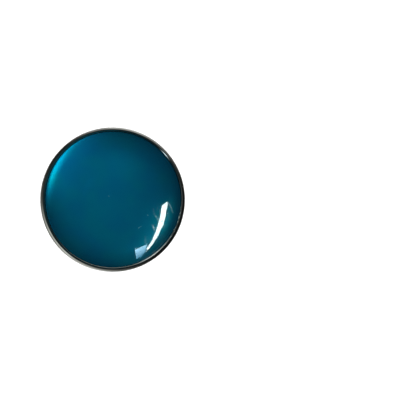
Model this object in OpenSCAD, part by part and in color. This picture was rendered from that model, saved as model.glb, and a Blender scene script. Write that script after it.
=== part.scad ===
// Clip-on earring: a domed glass stone over a layer of colour, set in a round bezel cup, with a
// one-piece spring clip on the cup's back. It lies face up on the clip: +Z is out of the face,
// +Y is up as worn, and the origin is on the surface it rests on, under the stone's centre.

/* [Stone] */
// Diameter of the round domed stone
stone_d = 20; // [18:0.5:25]
// Rise of the dome above the stone's straight side
dome_rise = 2.7; // [2:0.1:5]
// Height of the stone's straight side
girdle_h = 2; // [1.5:0.1:3]

/* [Colour layer] */
// Thickness of the layer of colour under the stone
layer_t = 0.2; // [0.1:0.05:0.4]

/* [Bezel cup] */
// Room between the stone and the wall around it
stone_room = 0.1; // [0.1:0.05:0.3]
// Thickness of the wall
wall_t = 0.6; // [0.5:0.05:1.2]
// Thickness of the floor
floor_t = 0.7; // [0.5:0.1:1]
// Height of the wall's edge above the stone's straight side
lip_h = 0.1; // [0:0.05:0.3]

/* [Spring clip] */
// Thickness of the strip that the clip is bent from
strip_t = 0.8; // [0.6:0.1:1]
// Width of the strip at its bend
strip_w = 5; // [4:0.5:6]
// Room for the ear lobe inside the bend
throat = 4.6; // [4.4:0.1:5]
// Room left for the lobe at the pinch
pinch_room = 2.2; // [1.8:0.1:2.6]
// Diameter of the round pad on the cup's back
pad_d = 9; // [8:0.5:10]
// Diameter of the arm's round end
paddle_d = 7; // [6.5:0.5:8]

/* [Hidden] */
// Fineness of round shapes
$fn = 96;
// Thickness of the cement films between the pieces
film = 0.03;
// Chamfer around the stone's base
base_chamfer = 0.2;
// The wall's edge: the width of its flat, and the radius of the shoulder that falls away outside it
edge_w = 0.05;
shoulder_r = 1.3;
// Rounding of the cup's lower edge
foot_r = 0.5;

// Radii of the stone, the cup's cavity and the cup
stone_r = stone_d / 2;
cavity_r = stone_r + stone_room;
cup_r = cavity_r + wall_t;
// Radius of the sphere that the dome is cut from
dome_r = (stone_r * stone_r + dome_rise * dome_rise) / (2 * dome_rise);

// Heights of the stacked pieces, from the surface up
leg_z = strip_t + throat;
cup_z = leg_z + strip_t + film;
layer_z = cup_z + floor_t + film;
stone_z = layer_z + layer_t + film;
girdle_z = stone_z + girdle_h;
rim_z = girdle_z + lip_h;

// The clip's bend: inner and outer radius, and where its centre lies below the stone's centre
bend_in_r = throat / 2;
bend_out_r = bend_in_r + strip_t;
bend_y = -5.4;
// Where the pad's centre lies
pad_y = 0.5;
// The wave that pinches the lobe: its rise, the slope at its steepest, its centreline's radius,
// the length of one of its four quarters, and where it starts and ends
wave_rise = throat - pinch_room;
wave_slope = 60;
wave_r = wave_rise / (2 * (1 - cos(wave_slope)));
wave_quarter = wave_r * sin(wave_slope);
wave_start = 0;
wave_end = wave_start + 4 * wave_quarter;
// Turn of the wave's outline from one point to the next
arc_step = 5;
// Length of the flat tip after the wave
tip_l = 0.5;
tip_y = wave_end + tip_l;
paddle_y = tip_y - paddle_d / 2;
// Width of the strip that the arm's outline is cut from, with a margin at each side
blank_margin = 1;
blank_w = paddle_d + 2 * blank_margin;

// Outline of the cup from its axis to its outer wall, with its lower edge at height 0
module cup_profile() {
    shoulder_x = cup_r - shoulder_r;
    edge_x = cavity_r + edge_w - shoulder_x;
    edge_h = sqrt(shoulder_r * shoulder_r - edge_x * edge_x);
    shoulder_h = rim_z - cup_z - edge_h;
    square([cup_r - foot_r, floor_t]);
    translate([cup_r - foot_r, foot_r]) intersection() {
        circle(foot_r);
        translate([0, -foot_r]) square(foot_r);
    }
    translate([cavity_r, foot_r]) square([wall_t, shoulder_h - foot_r]);
    intersection() {
        translate([shoulder_x, shoulder_h]) circle(shoulder_r);
        translate([cavity_r, shoulder_h]) square([wall_t, edge_h]);
    }
}

module bezel_cup() {
    color("dimgray") translate([0, 0, cup_z]) rotate_extrude() cup_profile();
}

module colour_layer() {
    color("darkcyan") translate([0, 0, layer_z]) cylinder(h = layer_t, r = stone_r - base_chamfer);
}

// Outline of the stone from its axis to its side, with its base at height 0
module stone_profile() {
    polygon([
        [0, 0],
        [stone_r - base_chamfer, 0],
        [stone_r, base_chamfer],
        [stone_r, girdle_h],
        [0, girdle_h]
    ]);
    translate([0, girdle_h]) intersection() {
        translate([0, dome_rise - dome_r]) circle(dome_r);
        square([stone_r, dome_rise]);
    }
}

module glass_stone() {
    color("teal", 0.6) translate([0, 0, stone_z]) rotate_extrude() stone_profile();
}

// Points along an arc, from one angle to another
function arc_points(centre, r, from, to) =
    let (steps = abs(to - from) / arc_step, turn = (to - from) / steps)
    [for (i = [0:steps]) centre + r * [cos(from + i * turn), sin(from + i * turn)]];

// The arm seen from its side, from the bend to the tip: flat, over the wave, and flat again
module arm_profile() {
    outside = wave_r + strip_t / 2;
    inside = wave_r - strip_t / 2;
    rise_centre = [wave_start, strip_t / 2 + wave_r];
    crest_centre = [wave_start + 2 * wave_quarter, strip_t / 2 + wave_rise - wave_r];
    fall_centre = [wave_end, strip_t / 2 + wave_r];
    polygon(concat(
        [[bend_y, 0]],
        arc_points(rise_centre, outside, -90, wave_slope - 90),
        arc_points(crest_centre, inside, 90 + wave_slope, 90 - wave_slope),
        arc_points(fall_centre, outside, -90 - wave_slope, -90),
        [[tip_y, 0], [tip_y, strip_t]],
        arc_points(fall_centre, inside, -90, -90 - wave_slope),
        arc_points(crest_centre, outside, 90 - wave_slope, 90 + wave_slope),
        arc_points(rise_centre, inside, wave_slope - 90, -90),
        [[bend_y, strip_t]]
    ));
}

// The bend seen from its side
module bend_profile() {
    translate([bend_y, bend_out_r]) difference() {
        circle(bend_out_r);
        circle(bend_in_r);
        translate([0, -bend_out_r]) square(2 * bend_out_r);
    }
}

// A side view, given a width across the earring
module across(w) {
    rotate([90, 0, 90]) translate([0, 0, -w / 2]) linear_extrude(w) children();
}

// The arm's outline from behind: the strip widens along tangents to the round end
module arm_outline() {
    r = paddle_d / 2;
    neck = [strip_w / 2, bend_y];
    away = neck - [0, paddle_y];
    turn = atan2(away[1], away[0]) + acos(r / norm(away));
    touch = [r * cos(turn), paddle_y + r * sin(turn)];
    translate([0, paddle_y]) circle(r);
    polygon([neck, touch, [-touch[0], touch[1]], [-neck[0], neck[1]]]);
}

module arm() {
    intersection() {
        across(blank_w) arm_profile();
        linear_extrude(leg_z) arm_outline();
    }
}

module ear_clip() {
    color("silver") {
        arm();
        across(strip_w) bend_profile();
        translate([-strip_w / 2, bend_y, leg_z]) cube([strip_w, pad_y - bend_y, strip_t]);
        translate([0, pad_y, leg_z]) cylinder(h = strip_t, d = pad_d);
    }
}

bezel_cup();
colour_layer();
glass_stone();
ear_clip();
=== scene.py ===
import math

import bmesh
import bpy
import numpy as np
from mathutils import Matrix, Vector


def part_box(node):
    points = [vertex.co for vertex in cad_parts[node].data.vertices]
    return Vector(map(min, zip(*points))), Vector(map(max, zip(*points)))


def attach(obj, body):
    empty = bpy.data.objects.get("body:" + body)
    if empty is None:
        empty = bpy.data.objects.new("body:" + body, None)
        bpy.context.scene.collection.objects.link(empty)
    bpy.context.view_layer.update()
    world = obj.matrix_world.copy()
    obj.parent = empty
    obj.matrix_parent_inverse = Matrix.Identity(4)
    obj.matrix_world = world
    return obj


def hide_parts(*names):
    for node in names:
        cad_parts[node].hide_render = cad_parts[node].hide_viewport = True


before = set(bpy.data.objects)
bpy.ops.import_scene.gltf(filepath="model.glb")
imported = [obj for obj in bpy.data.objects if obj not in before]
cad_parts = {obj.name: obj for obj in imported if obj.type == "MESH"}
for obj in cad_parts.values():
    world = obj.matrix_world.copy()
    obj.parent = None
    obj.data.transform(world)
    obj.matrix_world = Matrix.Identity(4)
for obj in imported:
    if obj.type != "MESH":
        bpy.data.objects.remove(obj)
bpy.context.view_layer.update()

# A clip-on earring, seen from nearly straight above: a domed glass stone over a teal foil in a dark
# metal cup, with a sprung clip behind. Everything is in metres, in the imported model's frame: +Z is
# out of the stone's face, +Y is up as worn, and the earring lies on the floor at height 0.

MM = 0.001

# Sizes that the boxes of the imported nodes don't give.

# The stone: its straight side, the chamfer round its base and the rounding at the dome's edge
GIRDLE_H = 2 * MM
BASE_CHAMFER = 0.2 * MM
STONE_EDGE_R = 0.03 * MM
# How far the foil reaches into the stone's base, because no air is between the two
FOIL_CONTACT = 0.02 * MM
# The cup: its wall and floor, and the rounding of its lower edge
CUP_WALL = 0.6 * MM
CUP_FLOOR = 0.7 * MM
FOOT_R = 0.5 * MM
# The wall's upper edge: its flat, how far it is pressed in over the gap round the stone and from
# how far down, the shoulder outside it, and the rounding between the two
RIM_FLAT_W = 0.02 * MM
LIP_REACH = 0.05 * MM
LIP_H = 0.25 * MM
SHOULDER_R = 1.3 * MM
RIM_SOFT_R = 0.03 * MM
# How far below the rim's top the cup's polish ends: where it starts to fade, and where it is gone
POLISH_FADE = 0.7 * MM
POLISH_END = 1.1 * MM

# The sprung clip: its strip, the room in its bend and at its pinch, its round ends, where the pad's
# centre and the bend's centre lie, the slope of its wave in degrees, and its roundings
STRIP_T = 0.8 * MM
STRIP_W = 5 * MM
THROAT = 4.6 * MM
PINCH_ROOM = 2.2 * MM
PAD_D = 9 * MM
PADDLE_D = 7 * MM
PAD_Y = 0.5 * MM
BEND_Y = -5.4 * MM
WAVE_SLOPE = 60
CLIP_EDGE_R = 0.18 * MM
PAD_FILLET = 0.8 * MM

# Fineness of the meshes: segments round the axis, and steps over each kind of outline
SEGMENTS = 256
FOIL_SEGMENTS = 192
DOME_STEPS = 110
SHOULDER_STEPS = 24
CUP_BACK_STEPS = 10
ROUND_STEPS = 10
SOFT_STEPS = 8
FLAT_STEPS = 8
# Points nearer to each other than this are joined, and faces that turn by less are shaded as one
MERGE = 1e-8
SMOOTH_ANGLE = 35
# The clip: the path's step, the length of its finely cut ends, cuts in each end and between them,
# and points over the edge's rounding and steps over its faces
PATH_STEP = 0.02 * MM
CLIP_END = 3.2 * MM
END_CUTS = 40
MIDDLE_CUTS = 220
EDGE_POINTS = 6
FACE_STEPS = 18

# How far the camera leans from straight above the stone, and which way, in degrees
VIEW_LEAN = 3.6
VIEW_AZIMUTH = 197

# The photograph's frame, in pixels: its width, the middle of the stone and the cup's outer radius
PHOTO_W = 400
DISC_X, DISC_Y = 113.4, 199.4
DISC_R = 72.55
# The camera's lens and sensor, in millimetres, and the nearest and farthest that it sees, in metres
LENS = 200
SENSOR = 36
VIEW_NEAR, VIEW_FAR = 0.01, 5
# How far the picture is from the lens, in the photograph's pixels
LENS_PIXELS = LENS / SENSOR * PHOTO_W

# The studio: half the floor's width and the two skies' radii, in metres, the rows and columns of
# their faces, the floor's grey and the strength of the room's light
FLOOR_HALF = 1.6
GLASS_SKY_R = 1.2
METAL_SKY_R = 1.3
SKY_ROWS, SKY_COLS = 48, 96
FLOOR_GREY = 0.9
ROOM_LIGHT = 2.2

cup_low, cup_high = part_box("bezel_cup")
stone_low, stone_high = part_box("glass_stone")
layer_low, layer_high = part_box("colour_layer")
clip_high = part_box("ear_clip")[1]
cup_r = cup_high.x
cavity_r = cup_r - CUP_WALL
stone_r = stone_high.x
layer_r = layer_high.x
girdle_z = stone_low.z + GIRDLE_H
dome_rise = stone_high.z - girdle_z
dome_r = (stone_r**2 + dome_rise**2) / (2 * dome_rise)
dome_centre = Vector((0, 0, stone_high.z - dome_r))
# The size of one of the photograph's pixels
pixel = cup_r / DISC_R


# Meshes

def arc(centre, radius, start, end, steps):
    """Points along an arc, both ends included, with angles in degrees."""
    angles = np.radians(np.linspace(start, end, steps + 1))
    return [(centre[0] + radius * math.cos(a), centre[1] + radius * math.sin(a)) for a in angles]


def line(start, end, steps):
    """Points along a line, both ends included."""
    return [tuple(p) for p in np.linspace(start, end, steps + 1)]


def mesh_object(name, verts, faces):
    """A mesh object with smooth shading, sharp where its faces turn by more than SMOOTH_ANGLE."""
    mesh = bpy.data.meshes.new(name)
    mesh.from_pydata(verts, [], faces)
    mesh.update()
    tidy = bmesh.new()
    tidy.from_mesh(mesh)
    bmesh.ops.remove_doubles(tidy, verts=tidy.verts, dist=MERGE)
    bmesh.ops.recalc_face_normals(tidy, faces=tidy.faces)
    tidy.to_mesh(mesh)
    tidy.free()
    mesh.shade_smooth()
    mesh.set_sharp_from_angle(angle=math.radians(SMOOTH_ANGLE))
    obj = bpy.data.objects.new(name, mesh)
    bpy.context.scene.collection.objects.link(obj)
    return obj


def lathe(name, profile, segments=SEGMENTS):
    """Turn a profile of (radius, height) points round the Z axis."""
    verts, faces = [], []
    for radius, height in profile:
        for k in range(segments):
            a = 2 * math.pi * k / segments
            verts.append((radius * math.cos(a), radius * math.sin(a), height))
    for i in range(len(profile) - 1):
        for k in range(segments):
            here, there = i * segments, (i + 1) * segments
            step = (k + 1) % segments
            faces.append((here + k, here + step, there + step, there + k))
    return mesh_object(name, verts, faces)


# Materials

class Nodes:
    """Short calls for the nodes of one material or world."""

    def __init__(self, tree):
        self.tree = tree

    def add(self, kind, **settings):
        node = self.tree.nodes.new(kind)
        for key, value in settings.items():
            setattr(node, key, value)
        return node

    def set(self, socket, value):
        """Link a socket to another node's output, or give it a constant."""
        if isinstance(value, bpy.types.NodeSocket):
            self.tree.links.new(value, socket)
        else:
            socket.default_value = value

    def math(self, operation, *values):
        node = self.add("ShaderNodeMath", operation=operation)
        for socket, value in zip(node.inputs, values):
            self.set(socket, value)
        return node.outputs[0]

    def vector(self, operation, *values):
        node = self.add("ShaderNodeVectorMath", operation=operation)
        for socket, value in zip(node.inputs, values):
            self.set(socket, value)
        return node.outputs["Value" if operation in ("DOT_PRODUCT", "LENGTH") else "Vector"]

    def combine(self, x, y, z):
        node = self.add("ShaderNodeCombineXYZ")
        for socket, value in zip(node.inputs, (x, y, z)):
            self.set(socket, value)
        return node.outputs[0]

    def noise(self, vector, scale, detail):
        node = self.add("ShaderNodeTexNoise")
        self.set(node.inputs["Vector"], vector)
        self.set(node.inputs["Scale"], scale)
        self.set(node.inputs["Detail"], detail)
        return node.outputs["Fac"]

    def spread(self, value, low, high, out_low=0, out_high=1):
        """A value's range mapped to another, and held inside it."""
        node = self.add("ShaderNodeMapRange", interpolation_type="SMOOTHSTEP")
        for socket, given in zip(node.inputs[:5], (value, low, high, out_low, out_high)):
            self.set(socket, given)
        return node.outputs[0]

    def product(self, first, second):
        return self.math("MULTIPLY", first, second)

    def mix(self, factor, first, second):
        node = self.add("ShaderNodeMix", data_type="RGBA")
        self.set(node.inputs["Factor"], factor)
        self.set(node.inputs[6], (*first, 1) if isinstance(first, tuple) else first)
        self.set(node.inputs[7], (*second, 1) if isinstance(second, tuple) else second)
        return node.outputs[2]

    def bump(self, height, distance):
        node = self.add("ShaderNodeBump")
        self.set(node.inputs["Height"], height)
        self.set(node.inputs["Distance"], distance)
        return node.outputs[0]

    def place(self):
        """The place on the object, in metres."""
        return self.add("ShaderNodeTexCoord").outputs["Object"]


def new_material(name):
    """A node material: its short calls and its Principled shader's inputs."""
    material = bpy.data.materials.new(name)
    material.use_nodes = True
    return material, Nodes(material.node_tree), material.node_tree.nodes["Principled BSDF"].inputs


# The glass: its tint, and how much of its coat the haze, the wiped streaks and the smears take up,
# and how much light a speck of dust stops
GLASS_TINT = (0.8, 0.97, 0.98)
HAZE = 0.006
WIPED = 0.1
SMEARED = 0.9
DUSTY = 0.03
# The foil's bluer and greener teal
FOIL_BLUE = (0, 0.278, 0.495)
FOIL_GREEN = (0, 0.312, 0.478)
# The cup's plating and the clip's: fresh, and under patina
RIM_FRESH, RIM_DULL = (0.273, 0.284, 0.271), (0.215, 0.221, 0.208)
SIDE_FRESH, SIDE_DULL = (0.4, 0.4, 0.385), (0.25, 0.245, 0.23)
CLIP_FRESH, CLIP_DULL = (0.58, 0.575, 0.555), (0.42, 0.41, 0.385)
# Depths of the foil's crumples, of the turning lines on the cup's side and rim, and of the brushing
CRUMPLE_DEPTH = 0.001 * MM
SIDE_LINE_DEPTH = 0.002 * MM
RIM_LINE_DEPTH = 0.0006 * MM
BRUSH_DEPTH = 0.0025 * MM
# How much noise is drawn out round the axis on a turned piece, and along the clip's strip
TURN_STRETCH = 0.002
BRUSH_STRETCH = 0.03


def glass_material(camera):
    """Clear glass, with some dust, and smears that show as a haze by bright reflections."""
    material, nodes, shader = new_material("teal_glass")
    place = nodes.place()
    haze = nodes.spread(nodes.noise(place, scale=900, detail=3), 0.4, 0.65, 0, HAZE)
    streaks = nodes.noise(turned_place(nodes), scale=7000, detail=1)
    wiped = nodes.spread(streaks, 0.6, 0.68, 0, WIPED)
    patch = nodes.spread(nodes.noise(place, scale=500, detail=1), 0.45, 0.6)
    smears = nodes.math("ADD", haze, nodes.product(wiped, patch))
    for smear in SMEARS:
        here = mark(nodes, place, camera, *smear)
        smears = nodes.math("ADD", smears, nodes.product(here, SMEARED))
    nodes.set(shader["Coat Weight"], nodes.math("MINIMUM", smears, 1))
    shader["Coat Roughness"].default_value = 0.2
    shader["Coat IOR"].default_value = 2.3
    dust = 0
    for speck in SPECKS:
        here = mark(nodes, place, camera, *speck)
        dust = nodes.math("ADD", dust, nodes.product(here, DUSTY))
    nodes.set(shader["Transmission Weight"], nodes.math("SUBTRACT", 1, dust))
    shader["Base Color"].default_value = (*GLASS_TINT, 1)
    shader["IOR"].default_value = 1.52
    shader["Roughness"].default_value = 0
    return material


def mark(nodes, place, camera, first, last, width):
    """1 on the line between two of the photograph's pixels on the dome, fading to 0 beside it."""
    start, end = photo_point(camera, *first), photo_point(camera, *last)
    way = end - start
    ahead = nodes.vector("SUBTRACT", place, start)
    share = nodes.spread(nodes.vector("DOT_PRODUCT", ahead, way), 0, way.length_squared)
    nearest = nodes.vector("MULTIPLY", nodes.combine(share, share, share), way)
    beside = nodes.vector("LENGTH", nodes.vector("SUBTRACT", ahead, nearest))
    return nodes.spread(beside, 0, width * pixel, 1, 0)


def foil_material():
    """Teal foil: its hue drifts between blue and green, and fine crumples break up its shine."""
    material, nodes, shader = new_material("teal_foil")
    place = nodes.place()
    hue = nodes.spread(nodes.noise(place, scale=260, detail=3), 0.35, 0.65)
    nodes.set(shader["Base Color"], nodes.mix(hue, FOIL_BLUE, FOIL_GREEN))
    shader["Metallic"].default_value = 1
    shader["Roughness"].default_value = 0.08
    grain = nodes.noise(place, scale=2600, detail=2)
    nodes.set(shader["Normal"], nodes.bump(grain, CRUMPLE_DEPTH))
    return material


def turned_place(nodes):
    """The place on a turned piece, stretched round its axis, so that noise on it looks turned."""
    place = nodes.place()
    flat = nodes.vector("MULTIPLY", place, (1, 1, 0))
    radius = nodes.vector("LENGTH", flat)
    split = nodes.add("ShaderNodeSeparateXYZ")
    nodes.set(split.inputs[0], place)
    turn = nodes.vector("NORMALIZE", flat)
    turn = nodes.vector("MULTIPLY", turn, (TURN_STRETCH, TURN_STRETCH, 0))
    across = nodes.combine(0, 0, nodes.math("ADD", radius, split.outputs["Z"]))
    return nodes.vector("ADD", turn, across)


def cup_material():
    """Dark plating, turned: polished over the rim's shoulder, satin and tarnished below it."""
    material, nodes, shader = new_material("dark_metal")
    place = nodes.place()
    split = nodes.add("ShaderNodeSeparateXYZ")
    nodes.set(split.inputs[0], place)
    polished = nodes.spread(split.outputs["Z"], cup_high.z - POLISH_END, cup_high.z - POLISH_FADE)
    lines = nodes.noise(turned_place(nodes), scale=9000, detail=3)
    patina = nodes.noise(place, scale=700, detail=4)
    shade = nodes.spread(patina, 0.35, 0.7)
    rim = nodes.mix(shade, RIM_FRESH, RIM_DULL)
    side = nodes.mix(shade, SIDE_FRESH, SIDE_DULL)
    nodes.set(shader["Base Color"], nodes.mix(polished, side, rim))
    rim_gloss = nodes.spread(patina, 0.3, 0.7, 0.03, 0.08)
    side_gloss = nodes.spread(lines, 0.3, 0.7, 0.3, 0.42)
    turn = nodes.product(nodes.math("SUBTRACT", rim_gloss, side_gloss), polished)
    nodes.set(shader["Roughness"], nodes.math("ADD", side_gloss, turn))
    dulled = nodes.spread(patina, 0.3, 0.7, 0.06, 0.2)
    tarnish = nodes.product(nodes.math("SUBTRACT", 1, polished), dulled)
    nodes.set(shader["Metallic"], nodes.math("SUBTRACT", 1, tarnish))
    depth = nodes.spread(polished, 0, 1, SIDE_LINE_DEPTH, RIM_LINE_DEPTH)
    nodes.set(shader["Normal"], nodes.bump(lines, depth))
    return material


def clip_material():
    """Satin silver, brushed along the strip, with darker tarnish in patches."""
    material, nodes, shader = new_material("clip_metal")
    along = nodes.add("ShaderNodeUVMap", uv_map="along").outputs[0]
    drawn_out = nodes.vector("MULTIPLY", along, (1, BRUSH_STRETCH, 0))
    brushing = nodes.noise(drawn_out, scale=14000, detail=3)
    stains = nodes.noise(nodes.place(), scale=500, detail=4)
    shade = nodes.spread(stains, 0.35, 0.7)
    nodes.set(shader["Base Color"], nodes.mix(shade, CLIP_FRESH, CLIP_DULL))
    nodes.set(shader["Metallic"], nodes.spread(stains, 0.3, 0.7, 0.9, 0.8))
    nodes.set(shader["Roughness"], nodes.spread(brushing, 0.3, 0.7, 0.24, 0.38))
    nodes.set(shader["Normal"], nodes.bump(brushing, BRUSH_DEPTH))
    return material


# The stone and its cup

def build_stone(camera):
    """The stone, from the middle of its base over its side and its edge to the dome's top."""
    base = stone_low.z
    edge = stone_r - STONE_EDGE_R
    # The rounding between the dome and the side touches both: its centre is that far inside each
    edge_z = dome_centre.z + math.sqrt((dome_r - STONE_EDGE_R)**2 - edge**2)
    start = math.degrees(math.atan2(edge_z - dome_centre.z, edge))
    profile = line((0, base), (stone_r - BASE_CHAMFER, base), FLAT_STEPS)
    profile += [(stone_r, base + BASE_CHAMFER)]
    profile += arc((edge, edge_z), STONE_EDGE_R, 0, start, ROUND_STEPS)
    profile += arc((0, dome_centre.z), dome_r, start, 90, DOME_STEPS)[1:]
    profile[-1] = (0, stone_high.z)
    stone = lathe("stone", profile)
    stone.data.materials.append(glass_material(camera))
    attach(stone, "root")
    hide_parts("glass_stone")


def build_layer():
    """The foil, from its underside to its face."""
    low, high = layer_low.z, stone_low.z + FOIL_CONTACT
    profile = line((0, low), (layer_r, low), FLAT_STEPS)
    profile += line((layer_r, high), (0, high), FLAT_STEPS)
    layer = lathe("teal_layer", profile, FOIL_SEGMENTS)
    layer.data.materials.append(foil_material())
    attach(layer, "root")
    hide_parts("colour_layer")


def build_cup():
    """The cup, from the middle of its back over its wall's edge to the middle of its floor."""
    low, high = cup_low.z, cup_high.z
    floor = low + CUP_FLOOR
    shoulder_x = cup_r - SHOULDER_R
    lip_r = cavity_r - LIP_REACH
    lean = math.degrees(math.acos((lip_r + RIM_FLAT_W - shoulder_x) / SHOULDER_R))
    shoulder_z = high - SHOULDER_R * math.sin(math.radians(lean))
    profile = line((0, low), (cup_r - FOOT_R, low), CUP_BACK_STEPS)
    profile += arc((cup_r - FOOT_R, low + FOOT_R), FOOT_R, -90, 0, ROUND_STEPS)[1:]
    profile += arc((shoulder_x, shoulder_z), SHOULDER_R, 0, lean, SHOULDER_STEPS)[:-1]
    profile += soft_corner((lip_r + RIM_FLAT_W, high), RIM_SOFT_R, lean, 90, SOFT_STEPS)
    profile += [(lip_r, high), (cavity_r, high - LIP_H)]
    profile += line((cavity_r, floor), (0, floor), FLAT_STEPS)
    cup = lathe("cup", profile)
    cup.data.materials.append(cup_material())
    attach(cup, "root")
    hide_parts("bezel_cup")


def soft_corner(corner, radius, start, end, steps):
    """An arc that rounds a convex corner, between the directions that its two sides face."""
    half = math.radians((end - start) / 2)
    middle = math.radians((start + end) / 2)
    reach = radius / math.cos(half)
    centre = (corner[0] - reach * math.cos(middle), corner[1] - reach * math.sin(middle))
    return arc(centre, radius, start, end, steps)


# The clip

def clip_path():
    """The strip's middle line from the pad's far edge to the tip, as rows of length, y, z and turn.

    It runs down behind the cup, round the bend, and up the arm and over its wave. Each run has a
    length, and an angle that it turns by."""
    half_t = STRIP_T / 2
    leg_z = STRIP_T + THROAT
    bend_r = THROAT / 2 + half_t
    wave_rise = THROAT - PINCH_ROOM
    wave_r = wave_rise / (2 * (1 - math.cos(math.radians(WAVE_SLOPE))))
    quarter = wave_r * math.sin(math.radians(WAVE_SLOPE))
    sweep = wave_r * math.radians(WAVE_SLOPE)
    y, z, turn, length = PAD_Y + PAD_D / 2, leg_z + half_t, 180.0, 0.0
    runs = [(y - BEND_Y, 0), (math.pi * bend_r, 180), (-BEND_Y, 0)]
    runs += [(sweep, WAVE_SLOPE), (2 * sweep, -2 * WAVE_SLOPE), (sweep, WAVE_SLOPE)]
    runs += [(clip_high.y - 4 * quarter, 0)]
    rows = [(length, y, z, turn)]
    for run, bend in runs:
        count = max(1, round(run / PATH_STEP))
        for _ in range(count):
            middle = math.radians(turn + bend / count / 2)
            y += run / count * math.cos(middle)
            z += run / count * math.sin(middle)
            turn += bend / count
            length += run / count
            rows.append((length, y, z, turn))
    return np.array(rows)


def pad_width(y):
    """Half the pad's width at a height y, with a fillet where it meets the strip."""
    pad_r, half_w = PAD_D / 2, STRIP_W / 2
    # The fillet's circle touches the strip's side and the pad's circle
    side = half_w + PAD_FILLET
    drop = math.sqrt((pad_r + PAD_FILLET)**2 - side**2)
    centre_y = PAD_Y - drop
    touch_y = PAD_Y - drop * pad_r / (pad_r + PAD_FILLET)
    if y >= touch_y:
        return math.sqrt(max(0, pad_r**2 - (y - PAD_Y)**2))
    if y >= centre_y:
        return side - math.sqrt(max(0, PAD_FILLET**2 - (y - centre_y)**2))
    return half_w


def paddle_width(y):
    """Half the arm's width at a height y: it widens along tangents to the round end."""
    radius, half_w = PADDLE_D / 2, STRIP_W / 2
    centre_y = clip_high.y - radius
    away = Vector((half_w, BEND_Y - centre_y))
    turn = math.atan2(away.y, away.x) + math.acos(radius / away.length)
    touch = Vector((radius * math.cos(turn), centre_y + radius * math.sin(turn)))
    if y >= touch.y:
        return math.sqrt(max(0, radius**2 - (y - centre_y)**2))
    return half_w + (touch.x - half_w) * (y - BEND_Y) / (touch.y - BEND_Y)


def clip_rows(path):
    """Where the strip is cut across: closely at its round ends, evenly between them."""
    total = path[-1, 0]
    near = CLIP_END * (1 - np.cos(np.linspace(0, math.pi / 2, END_CUTS)))
    between = np.linspace(CLIP_END, total - CLIP_END, MIDDLE_CUTS)[1:-1]
    return np.concatenate([near, between, (total - near)[::-1]])


def place_key(place):
    """A place rounded to a ten-thousandth of a millimetre."""
    return tuple(round(c / MM, 4) for c in place)


def build_clip():
    """A flat sheet with rounded edges, cut to the clip's outline and bent along its path."""
    path = clip_path()
    lengths = clip_rows(path)
    bend_start = PAD_Y + PAD_D / 2 - BEND_Y
    ys = np.interp(lengths, path[:, 0], path[:, 1])
    half = []
    for length, y in zip(lengths, ys):
        if length < bend_start:
            half.append(pad_width(y))
        elif y > BEND_Y:
            half.append(paddle_width(y))
        else:
            half.append(STRIP_W / 2)
    half = np.array(half)
    half[0] = half[-1] = 0
    # The direction out of the outline, in the flat sheet
    along, across = np.gradient(lengths), np.gradient(half)
    norm = np.hypot(along, across)
    out_x, out_s = along / norm, -across / norm
    out_x[0] = out_x[-1] = 0
    out_s[0], out_s[-1] = -1, 1

    verts, uvs = [], []

    def put(x, length, height):
        y = np.interp(length, path[:, 0], path[:, 1])
        z = np.interp(length, path[:, 0], path[:, 2])
        turn = math.radians(np.interp(length, path[:, 0], path[:, 3]))
        verts.append((x, y - height * math.sin(turn), z + height * math.cos(turn)))
        uvs.append((x, length))

    # Across the strip: up one edge's rounding, over one face, round the other edge and back
    half_t = STRIP_T / 2
    edge = [(CLIP_EDGE_R * (1 - math.cos(a)), half_t - CLIP_EDGE_R * (1 - math.sin(a)))
            for a in np.linspace(0, math.pi / 2, EDGE_POINTS)]
    for i, length in enumerate(lengths):
        ring = []
        for side, up in ((1, 1), (-1, 1), (-1, -1), (1, -1)):
            steps = edge if side == up else edge[::-1]
            for inset, height in steps:
                x = side * max(0, half[i] - inset * out_x[i])
                ring.append((x, length - inset * out_s[i], up * height))
            if side == up:
                inset, height = edge[-1]
                x = max(0, half[i] - inset * out_x[i])
                for k in range(1, FACE_STEPS):
                    place = side * x * (1 - 2 * k / FACE_STEPS)
                    ring.append((place, length - inset * out_s[i], up * height))
        for x, s, height in ring:
            put(x, s, height)
    width = len(verts) // len(lengths)
    faces = []
    for i in range(len(lengths) - 1):
        for k in range(width):
            step = (k + 1) % width
            here, there = i * width, (i + 1) * width
            faces.append((here + k, here + step, there + step, there + k))
    clip = mesh_object("clip", verts, faces)
    # Joining near points renumbers them, so each place finds its flat one by its own coordinates
    layer = clip.data.uv_layers.new(name="along")
    flat_places = {place_key(v): uv for v, uv in zip(verts, uvs)}
    for loop in clip.data.loops:
        key = place_key(clip.data.vertices[loop.vertex_index].co)
        layer.data[loop.index].uv = flat_places.get(key, (0, 0))
    clip.data.materials.append(clip_material())
    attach(clip, "root")
    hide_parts("ear_clip")


# Camera, floor and light

def pixel_ray(px, py):
    """The way to a pixel of the photograph, in the camera's own axes."""
    return Vector((px - PHOTO_W / 2, PHOTO_W / 2 - py, -LENS_PIXELS)).normalized()


def build_camera():
    """The camera leans a little, and turns so that the stone is where the photograph has it."""
    data = bpy.data.cameras.new("camera")
    data.lens = LENS
    data.sensor_width = SENSOR
    data.clip_start, data.clip_end = VIEW_NEAR, VIEW_FAR
    camera = bpy.data.objects.new("camera", data)
    away = sky_point(VIEW_AZIMUTH, 90 - VIEW_LEAN, LENS_PIXELS * pixel)
    camera.location = Vector((0, 0, cup_high.z)) + away
    camera.rotation_mode = "QUATERNION"
    camera.rotation_quaternion = pixel_ray(DISC_X, DISC_Y).rotation_difference(-away)
    bpy.context.scene.collection.objects.link(camera)
    bpy.context.scene.camera = camera
    return camera


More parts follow.
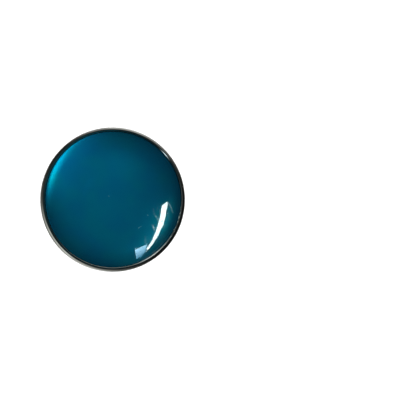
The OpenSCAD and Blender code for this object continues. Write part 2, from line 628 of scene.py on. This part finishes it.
def photo_point(camera, px, py):
    """Where the ray of one of the photograph's pixels meets the dome."""
    ray = camera.rotation_quaternion @ pixel_ray(px, py)
    start = camera.location - dome_centre
    along = ray.dot(start)
    reach = -along - math.sqrt(along**2 - start.length_squared + dome_r**2)
    return camera.location + ray * reach


def mirrored_ray(camera, px, py):
    """The same place on the dome, and the way that the ray leaves it when it is mirrored there."""
    ray = camera.rotation_quaternion @ pixel_ray(px, py)
    point = photo_point(camera, px, py)
    normal = (point - dome_centre) / dome_r
    return point, ray - 2 * ray.dot(normal) * normal


def sine(degrees):
    return math.sin(math.radians(degrees))


def sky_point(azimuth, elevation, distance):
    """The place this far from the origin in a direction given in degrees."""
    a, e = math.radians(azimuth), math.radians(elevation)
    return distance * Vector((math.cos(a) * math.cos(e), math.sin(a) * math.cos(e), math.sin(e)))


def emission(name):
    """A glowing material, its short calls, and the input for its light."""
    material = bpy.data.materials.new(name)
    material.use_nodes = True
    tree = material.node_tree
    tree.nodes.remove(tree.nodes["Principled BSDF"])
    nodes = Nodes(tree)
    glow = nodes.add("ShaderNodeEmission")
    nodes.set(tree.nodes["Material Output"].inputs["Surface"], glow.outputs[0])
    return material, nodes, glow.inputs["Color"]


def sky_material(name, light, lamps, walls):
    """Faint light from every side, broad soft lamps in it, and lit walls between two elevations."""
    material, nodes, glow = emission(name)
    way = nodes.vector("NORMALIZE", nodes.place())
    for azimuth, elevation, focus, colour in lamps:
        facing = nodes.vector("DOT_PRODUCT", way, sky_point(azimuth, elevation, 1))
        lobe = nodes.math("POWER", nodes.math("MAXIMUM", facing, 0), focus)
        lamp = nodes.vector("MULTIPLY", colour, nodes.combine(lobe, lobe, lobe))
        light = nodes.vector("ADD", light, lamp)
    level = nodes.vector("NORMALIZE", nodes.vector("MULTIPLY", way, (1, 1, 0)))
    rise = nodes.vector("DOT_PRODUCT", way, (0, 0, 1))
    for azimuth, focus, (foot, foot_soft), (top, top_soft), colour in walls:
        facing = nodes.vector("DOT_PRODUCT", level, sky_point(azimuth, 0, 1))
        lobe = nodes.math("POWER", nodes.math("MAXIMUM", facing, 0), focus)
        above = nodes.spread(rise, sine(foot - foot_soft), sine(foot + foot_soft))
        below = nodes.spread(rise, sine(top - top_soft), sine(top + top_soft), 1, 0)
        lit = nodes.product(lobe, nodes.product(above, below))
        wall = nodes.vector("MULTIPLY", colour, nodes.combine(lit, lit, lit))
        light = nodes.vector("ADD", light, wall)
    nodes.set(glow, light)
    return material


def graded_light(name, start, end, first, last):
    """A glow that goes from one colour at one place to another at a second place."""
    material, nodes, glow = emission(name)
    way = end - start
    ahead = nodes.vector("SUBTRACT", nodes.place(), start)
    along = nodes.vector("DOT_PRODUCT", ahead, way / way.length_squared)
    nodes.set(glow, nodes.mix(along, first, last))
    return material


def light_mesh(name, verts, faces, material, through_glass):
    """A lit surface that shows through the glass alone, or else by reflections alone."""
    mesh = bpy.data.meshes.new(name)
    mesh.from_pydata(verts, [], faces)
    mesh.materials.append(material)
    lit = bpy.data.objects.new(name, mesh)
    bpy.context.scene.collection.objects.link(lit)
    lit.visible_camera = False
    lit.visible_diffuse = False
    lit.visible_shadow = False
    lit.visible_glossy = not through_glass
    lit.visible_transmission = through_glass


def grown(outline, by):
    """An outline listed clockwise, as seen, with each corner moved outward by a distance."""
    corners = [Vector(corner) for corner in outline]
    befores, afters = corners[-1:] + corners[:-1], corners[1:] + corners[:1]
    moved = []
    for before, corner, after in zip(befores, corners, afters):
        along = (corner - before).normalized() + (after - corner).normalized()
        moved.append(corner + by * Vector((along.y, -along.x)).normalized())
    return moved


def build_card(camera, name, outline, distance, first, last, fade):
    """A lit card whose reflection in the dome has this outline, in the photograph's pixels.

    Its colour goes from first to last between two of the outline's corners."""
    hits = [mirrored_ray(camera, px, py) for px, py in outline]
    facing = sum((ray for _, ray in hits), Vector()).normalized()
    verts = []
    for point, ray in hits:
        reach = (distance - point.dot(facing)) / ray.dot(facing)
        verts.append(point + ray * reach)
    material = graded_light(name, verts[fade[0]], verts[fade[1]], first, last)
    light_mesh(name, verts, [tuple(range(len(verts)))], material, through_glass=False)


def build_sky(name, distance, light, lamps, walls, through_glass):
    """A sphere of light round the earring."""
    verts, faces = [], []
    for elevation in np.linspace(-90, 90, SKY_ROWS + 1):
        for azimuth in np.linspace(0, 360, SKY_COLS, endpoint=False):
            verts.append(sky_point(azimuth, elevation, distance))
    for i in range(SKY_ROWS):
        for k in range(SKY_COLS):
            here, there, step = i * SKY_COLS, (i + 1) * SKY_COLS, (k + 1) % SKY_COLS
            faces.append((here + k, here + step, there + step, there + k))
    light_mesh(name, verts, faces, sky_material(name, light, lamps, walls), through_glass)


def build_floor():
    """A plain pale floor, which the metal and the glass don't reflect."""
    corners = [(FLOOR_HALF * x, FLOOR_HALF * y, 0) for x, y in ((-1, -1), (1, -1), (1, 1), (-1, 1))]
    mesh = bpy.data.meshes.new("floor")
    mesh.from_pydata(corners, [], [(0, 1, 2, 3)])
    floor = bpy.data.objects.new("floor", mesh)
    material, _, shader = new_material("floor")
    shader["Base Color"].default_value = (FLOOR_GREY, FLOOR_GREY, FLOOR_GREY, 1)
    shader["Roughness"].default_value = 0.9
    shader["Specular IOR Level"].default_value = 0
    mesh.materials.append(material)
    bpy.context.scene.collection.objects.link(floor)
    floor.visible_glossy = False
    floor.visible_transmission = False


def build_world():
    """Even white light from the whole room, which the metal and the glass don't show."""
    world = bpy.data.worlds.new("studio")
    bpy.context.scene.world = world
    world.use_nodes = True
    background = world.node_tree.nodes["Background"]
    background.inputs["Color"].default_value = (1, 1, 1, 1)
    background.inputs["Strength"].default_value = ROOM_LIGHT
    world.cycles_visibility.glossy = False
    world.cycles_visibility.transmission = False


# The lights of each sky. A lamp has an azimuth and an elevation in degrees, a focus and a colour. A
# wall has an azimuth, a focus, its lower and its upper elevation with the softness of each, and a
# colour; with a focus of 0 it stands all round.

# What the foil shows through the stone. Dome and foil work like a hollow mirror, so that each light
# shows on the side away from it.
GLASS_SKY_LIGHT = (0.004, 0.002, 0.006)
GLASS_LAMPS = [
    (-2, 82, 4.6, (0.297, 0.286, 0.303)),
    (-12, 60, 110, (0.04, 0.1, 0.075)),
    (108, 60, 37, (0.093, 0.099, 0.087)),
    (-86, 77, 117, (0.074, 0.073, 0.074)),
    (-40, 48, 20, (0.407, 0.346, 0.467)),
]
GLASS_WALLS = [
    # The bright crescent, and its fainter upper end
    (-24, 24, (48.2, 1.6), (51, 7), (3.8, 4.8, 4)),
    (-44, 20, (47.4, 1), (49.8, 1.5), (1, 1.2, 1.3)),
    # The paler band opposite it
    (144, 8.5, (64, 6.5), (78.5, 11.5), (0.2, 0.284, 0.21)),
    (136, 6, (64.2, 1.9), (68, 3), (0.2, 0.25, 0.19)),
    # Low light from all round
    (0, 0, (2, 2), (42, 3.5), (0.5, 0.5, 0.5)),
]

# What the rim shows, on the side that each light is on
METAL_SKY_LIGHT = (0.012, 0.012, 0.012)
METAL_LAMPS = [
    # The pale floor's light, from below
    (0, -90, 6, (0.5, 0.5, 0.48)),
    # The small bright glint at the upper right
    (39.5, 15, 700, (6, 7.3, 8)),
]
METAL_WALLS = [
    # The bright outer ring at the lower left, and its ends
    (-138, 8, (-36, 14), (-6.5, 1.5), (1.52, 1.52, 1.43)),
    (-160, 10, (-60, 14), (-17, 4), (0.3, 0.3, 0.28)),
    (-100, 8, (-80, 5), (-4, 3), (0.3, 0.3, 0.29)),
    (-107, 10, (-80, 5), (-24, 7), (0.88, 0.88, 0.85)),
    # The outer ring at the top
    (75, 6, (-80, 5), (-12, 11), (1.2, 1.2, 1.17)),
    # The silver line at the lower right, and its fainter ends
    (-50, 36, (20, 1), (25, 0.5), (7, 7.1, 7.1)),
    (-74, 14, (22.5, 0.7), (26.8, 0.5), (0.7, 0.71, 0.71)),
    (-26, 14, (9, 2), (20, 1.5), (0.2, 0.2, 0.195)),
    (2, 30, (7, 2), (14, 2), (0.3, 0.3, 0.29)),
    # The thin line at the bottom
    (-98, 5, (25.5, 0.5), (28.5, 0.5), (1.8, 1.9, 1.9)),
    # A faint glow where the rim is dark, at the left and at the upper right
    (172, 4, (-60, 10), (8, 10), (0.052, 0.06, 0.054)),
    (35, 8, (-60, 10), (10, 10), (0.04, 0.04, 0.038)),
    # A teal sheen all round, and stronger at the upper left
    (0, 0, (4, 6), (34, 5), (0.002, 0.04, 0.055)),
    (127, 3, (4, 6), (34, 5), (0, 0.08, 0.12)),
]

# Outlines of the two highlights on the dome, clockwise, in the photograph's pixels
STRIP_LIGHT = [
    (162.1, 205.9), (164.1, 204), (167.3, 201.5), (167.2, 205), (165.9, 213), (165.1, 218),
    (163.4, 223.4), (161.7, 227.4), (158.1, 235), (153.2, 243), (149.5, 248), (146.3, 251.2),
    (144.9, 250.6), (150.5, 242.8), (155.6, 232), (158.7, 222), (160.3, 215),
]
SMALL_LIGHT = [
    (135.2, 249.2), (147, 244.5), (145.6, 250), (145, 252.4), (140.5, 257.5), (136.2, 258.7),
]
# The cards that the dome reflects: each one's outline, how far off it stands in metres, its first
# and its last colour, and the two corners between which it goes from one to the other. A dim, grown
# card stands behind each bright one, for the soft edge that the highlight has.
CARDS = {
    "strip_light": (grown(STRIP_LIGHT, 0.05), 0.5, (24, 29, 29.5), (24, 29, 29.5), (0, 1)),
    "strip_glow": (grown(STRIP_LIGHT, 1.1), 0.52, (1, 0.95, 0.45), (1, 0.95, 0.45), (0, 1)),
    "small_light": (SMALL_LIGHT, 0.51, (10, 16.4, 20.6), (0.6, 3.2, 5.6), (0, 4)),
    "small_glow": (grown(SMALL_LIGHT, 1.1), 0.53, (1, 2, 2.4), (0.2, 0.4, 0.5), (0, 4)),
}

# Smears and dust on the dome: where each starts and ends, and its width, in the photograph's pixels
SMEARS = [
    ((168.2, 203), (171, 207.2), 0.8),
    ((171, 207.2), (172.7, 212.5), 0.9),
    ((168, 213.6), (169.6, 219.6), 0.5),
    ((154.1, 213.6), (157.8, 219.6), 0.8),
    ((153.2, 225.5), (153.9, 230.5), 0.8),
    ((145, 237), (145.9, 243.2), 0.8),
]
SPECKS = [
    ((141.1, 226.2), (141.3, 226.3), 1.6),
    ((138.8, 228.2), (139, 228.3), 1),
    ((147.8, 215), (148.2, 215), 1),
    ((108.4, 195.8), (108.8, 195.8), 0.8),
]

camera = build_camera()
build_floor()
build_world()
for name, card in CARDS.items():
    build_card(camera, name, *card)
build_sky("glass_sky", GLASS_SKY_R, GLASS_SKY_LIGHT, GLASS_LAMPS, GLASS_WALLS, through_glass=True)
build_sky("metal_sky", METAL_SKY_R, METAL_SKY_LIGHT, METAL_LAMPS, METAL_WALLS, through_glass=False)
build_stone(camera)
build_layer()
build_cup()
build_clip()

scene = bpy.context.scene
scene.view_settings.view_transform = "Standard"
scene.cycles.blur_glossy = 0
scene.cycles.sample_clamp_indirect = 0
